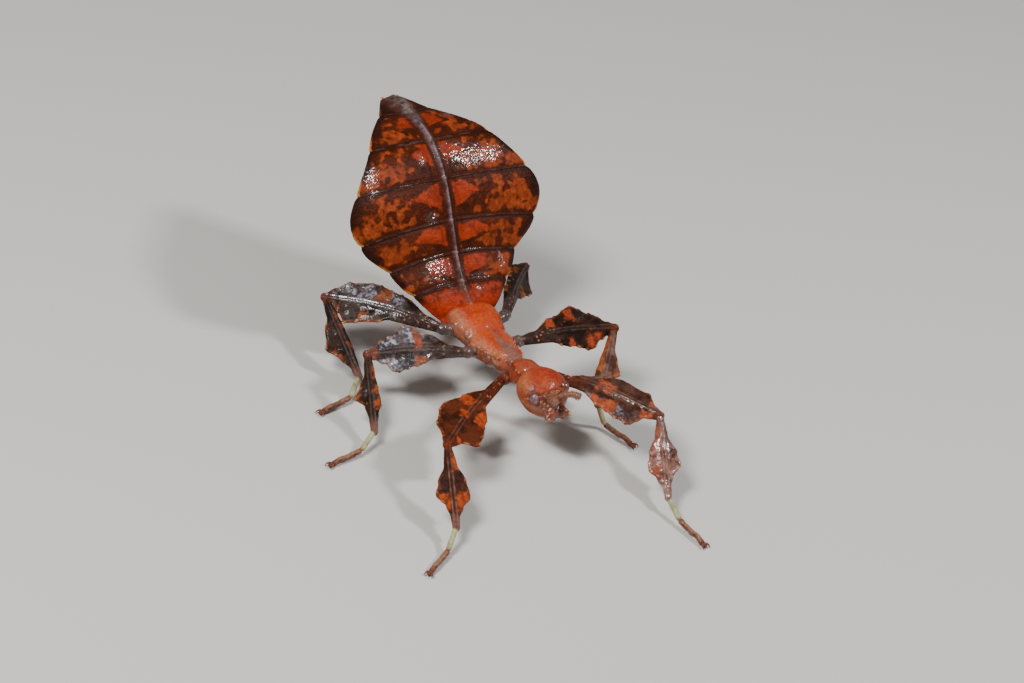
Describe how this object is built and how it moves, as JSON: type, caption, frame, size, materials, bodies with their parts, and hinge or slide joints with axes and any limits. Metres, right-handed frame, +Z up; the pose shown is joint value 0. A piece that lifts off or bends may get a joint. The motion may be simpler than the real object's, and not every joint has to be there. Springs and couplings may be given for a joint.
{
  "type": "leaf insect nymph model",
  "caption": "Life-size still model of a reddish-brown leaf insect nymph, standing with its leaf-shaped abdomen raised and lobed legs spread.",
  "frame": {"origin": "on the floor, under the middle of the model's box", "axes": "-Y points the way the head faces, +X to the insect's left side, +Z up from the floor that its feet stand on"},
  "size_m": [0.0216, 0.0336, 0.0132],
  "materials": {
    "abdomen": "wet-looking mottled orange-red and dark brown leaf with darker raised lines",
    "thorax": "soft satin orange-red, mottled with pinkish beige",
    "head": "satin orange-red dome with a darker granular face",
    "eye": "glossy grey-purple",
    "leg": "dark brown with orange spots, toothed orange margins and glossy grey ridges",
    "tarsus": "pale cream-green first joint, pinkish brown joints and dark claws",
    "antenna": "beige-brown, finely hairy"
  },
  "bodies": {
    "root": {"abdomen": "abdomen", "antenna_left": "antenna", "antenna_right": "antenna", "basitarsus_front_left": "tarsus", "basitarsus_front_right": "tarsus", "basitarsus_hind_left": "tarsus", "basitarsus_hind_right": "tarsus", "basitarsus_mid_left": "tarsus", "basitarsus_mid_right": "tarsus", "coxa_front_left": "leg", "coxa_front_right": "leg", "coxa_hind_left": "leg", "coxa_hind_right": "leg", "coxa_mid_left": "leg", "coxa_mid_right": "leg", "eye_left": "eye", "eye_right": "eye", "femur_front_left": "leg", "femur_front_right": "leg", "femur_hind_left": "leg", "femur_hind_right": "leg", "femur_mid_left": "leg", "femur_mid_right": "leg", "head": "head", "mesothorax": "thorax", "metathorax": "thorax", "mouthparts": "head", "pronotum": "thorax", "tarsus_front_left": "tarsus", "tarsus_front_right": "tarsus", "tarsus_hind_left": "tarsus", "tarsus_hind_right": "tarsus", "tarsus_mid_left": "tarsus", "tarsus_mid_right": "tarsus", "tibia_front_left": "leg", "tibia_front_right": "leg", "tibia_hind_left": "leg", "tibia_hind_right": "leg", "tibia_mid_left": "leg", "tibia_mid_right": "leg"}
  },
  "joints": []
}
